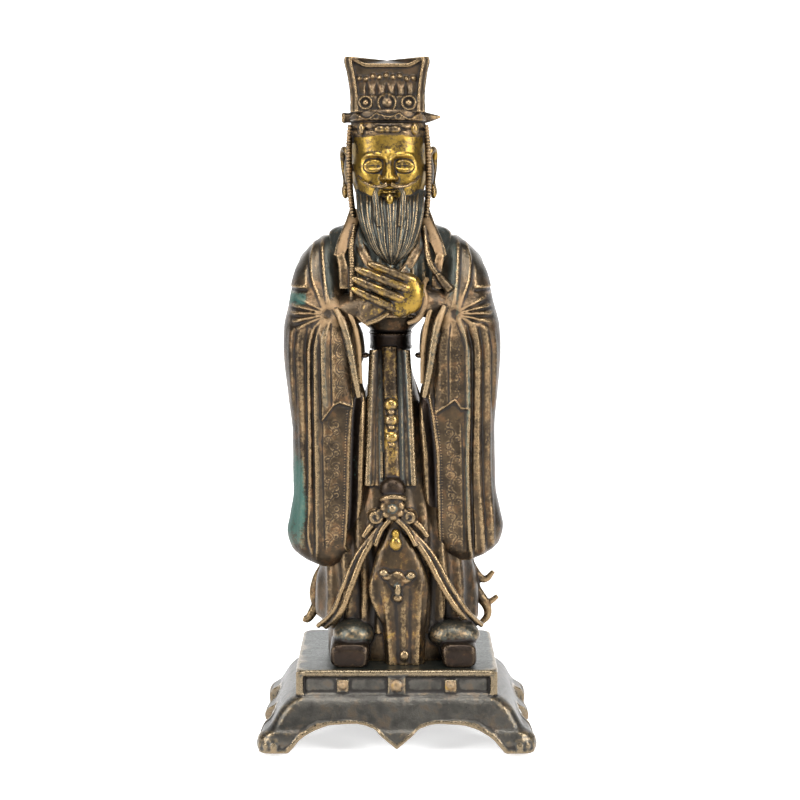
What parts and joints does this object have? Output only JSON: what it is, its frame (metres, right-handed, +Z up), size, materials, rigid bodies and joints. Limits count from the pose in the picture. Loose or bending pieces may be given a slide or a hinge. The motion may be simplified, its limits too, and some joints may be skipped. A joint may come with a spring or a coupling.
{
  "type": "standing robed immortal figure on a footed plinth",
  "caption": "Standing bearded immortal in long-sleeved court robe and tall flaring crown, hands folded before the chest, on a hollow flared plinth with arched skirts and paw feet.",
  "frame": {"origin": "on the table under the middle of the plinth, at the middle of the bounding box's bottom face", "axes": "+Z up through the crown, the figure faces -Y, +X to the viewer's right"},
  "size_m": [0.1702, 0.131, 0.42],
  "materials": {
    "figure_bronze": "dark brown and grey-green cast bronze, worn tan on the ridges, remains of gilding on face, hands and apron",
    "plinth_bronze": "dark grey-brown cast bronze, rubbed brighter on lips and paws"
  },
  "bodies": {
    "root": {"immortal_figure": "figure_bronze", "footed_plinth": "plinth_bronze"}
  },
  "joints": []
}
